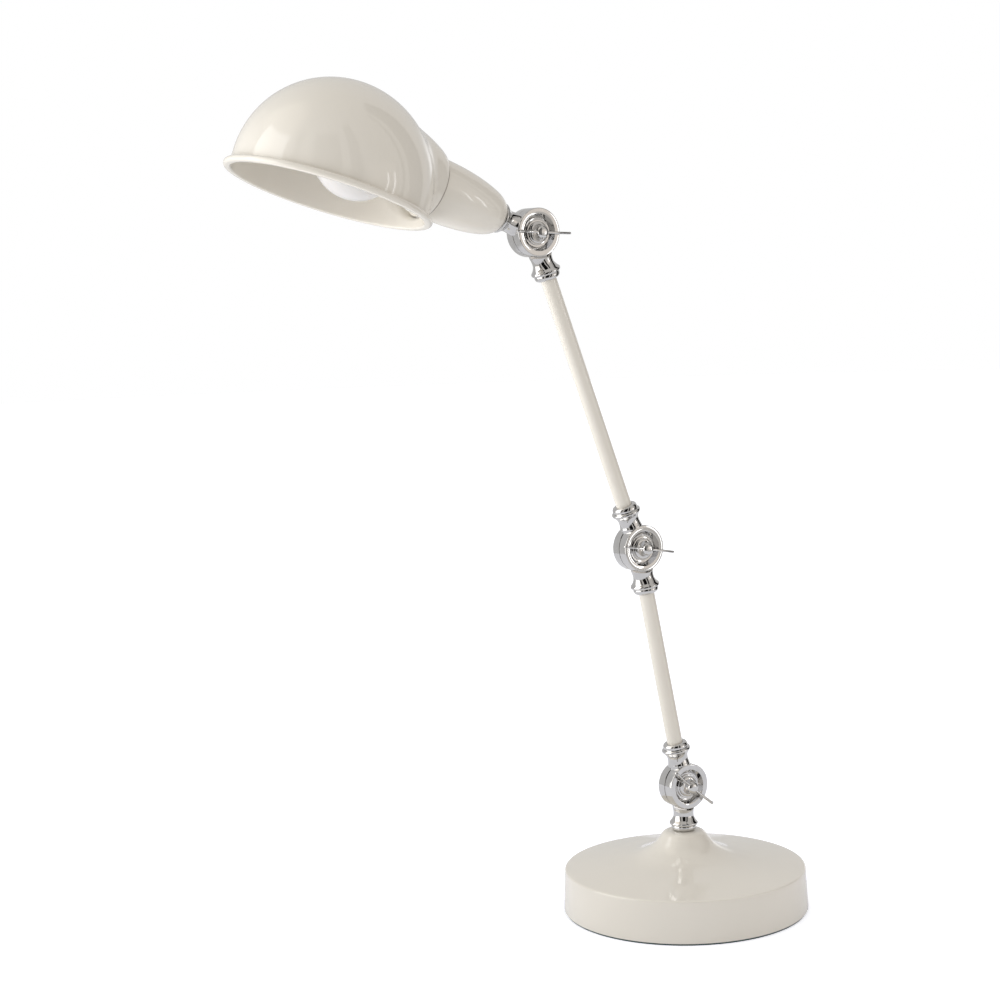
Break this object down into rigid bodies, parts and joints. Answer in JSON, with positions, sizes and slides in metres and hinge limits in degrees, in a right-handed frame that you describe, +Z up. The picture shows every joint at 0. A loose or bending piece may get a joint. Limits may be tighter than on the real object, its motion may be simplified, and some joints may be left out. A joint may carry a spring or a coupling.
{
  "type": "desk lamp",
  "caption": "Desk lamp with a weighted round base, tube arms joined by wing-nut knuckles, and a tilting half-dome shade on a bell-shaped lampholder cup.",
  "frame": {"origin": "centre of the underside of the base, on the surface the lamp stands on", "axes": "+Z up; the arms lean and the head reaches towards -X; the knuckle bolts lie along Y with their wing nuts on the -Y side; the cord inlet is at +X"},
  "size_m": [0.3947, 0.165, 0.551],
  "materials": {
    "felt": "short wool felt",
    "steel": "zinc plated",
    "cast_iron": "as cast",
    "ivory_paint": "glossy ivory enamel",
    "grommet_rubber": "matte",
    "porcelain": "unglazed",
    "brass": "turned",
    "lead_sleeve": "matte",
    "chrome": "polished",
    "friction_fibre": "pressed fibre",
    "bakelite": "moulded",
    "white_moulding": "moulded, satin",
    "opal_glass": "opal, gloss",
    "nickel_cap": "pressed"
  },
  "bodies": {
    "base": {"felt_pad": "felt", "base_plate": "steel", "plate_screws": "steel", "base_weight": "cast_iron", "base_cover": "ivory_paint", "cable_grommet": "grommet_rubber", "terminal_block": "porcelain", "terminal_screws": "brass", "earth_screw": "brass", "threaded_stem": "steel", "weight_nut": "steel", "weight_washer": "steel", "stem_nut": "steel", "stem_washer": "steel", "base_lead": "lead_sleeve", "base_knuckle_rear": "chrome", "base_friction_ring": "friction_fibre", "base_pivot_bolt": "chrome"},
    "lower_arm": {"base_knuckle_front": "chrome", "base_cup_washer": "chrome", "lower_arm_tube": "ivory_paint", "lower_arm_lead": "lead_sleeve", "elbow_knuckle_rear": "chrome", "elbow_friction_ring": "friction_fibre", "elbow_pivot_bolt": "chrome"},
    "upper_arm": {"elbow_knuckle_front": "chrome", "elbow_cup_washer": "chrome", "upper_arm_tube": "ivory_paint", "upper_arm_lead": "lead_sleeve", "head_knuckle_rear": "chrome", "head_friction_ring": "friction_fibre", "head_pivot_bolt": "chrome"},
    "head": {"head_knuckle_front": "chrome", "head_cup_washer": "chrome", "head_nipple": "steel", "cup_washer": "steel", "cup_nut": "steel", "holder_cup": "ivory_paint", "head_lead": "lead_sleeve", "lampholder_cap": "white_moulding", "lampholder_nut": "steel", "lampholder_insert": "porcelain", "lampholder_contact": "brass", "lampholder_thread": "brass", "lampholder_shell": "white_moulding", "shade": "ivory_paint", "shade_ring": "white_moulding", "bulb_glass": "opal_glass", "bulb_cap": "nickel_cap", "bulb_insulator": "bakelite", "bulb_contact": "brass"},
    "base_nut": {"base_wing_nut": "chrome"},
    "elbow_nut": {"elbow_wing_nut": "chrome"},
    "head_nut": {"head_wing_nut": "chrome"}
  },
  "joints": [
    {"name": "base_tilt", "type": "hinge", "parent": "base", "child": "lower_arm", "pos_m": [0, 0, 0.0848], "axis": [0, -1, 0], "range_deg": [-70, 50]},
    {"name": "elbow_tilt", "type": "hinge", "parent": "lower_arm", "child": "upper_arm", "pos_m": [-0.03206, 0, 0.24971], "axis": [0, 1, 0], "range_deg": [-80, 110]},
    {"name": "head_tilt", "type": "hinge", "parent": "upper_arm", "child": "head", "pos_m": [-0.10671, 0, 0.45708], "axis": [0, -1, 0], "range_deg": [-105, 65]},
    {"name": "base_nut_turn", "type": "hinge", "parent": "base", "child": "base_nut", "pos_m": [0, 0, 0.0848], "axis": [0, -1, 0], "range_deg": [0, 180]},
    {"name": "elbow_nut_turn", "type": "hinge", "parent": "lower_arm", "child": "elbow_nut", "pos_m": [-0.03206, 0, 0.24971], "axis": [0, -1, 0], "range_deg": [0, 180]},
    {"name": "head_nut_turn", "type": "hinge", "parent": "upper_arm", "child": "head_nut", "pos_m": [-0.10671, 0, 0.45708], "axis": [0, -1, 0], "range_deg": [0, 180]}
  ]
}
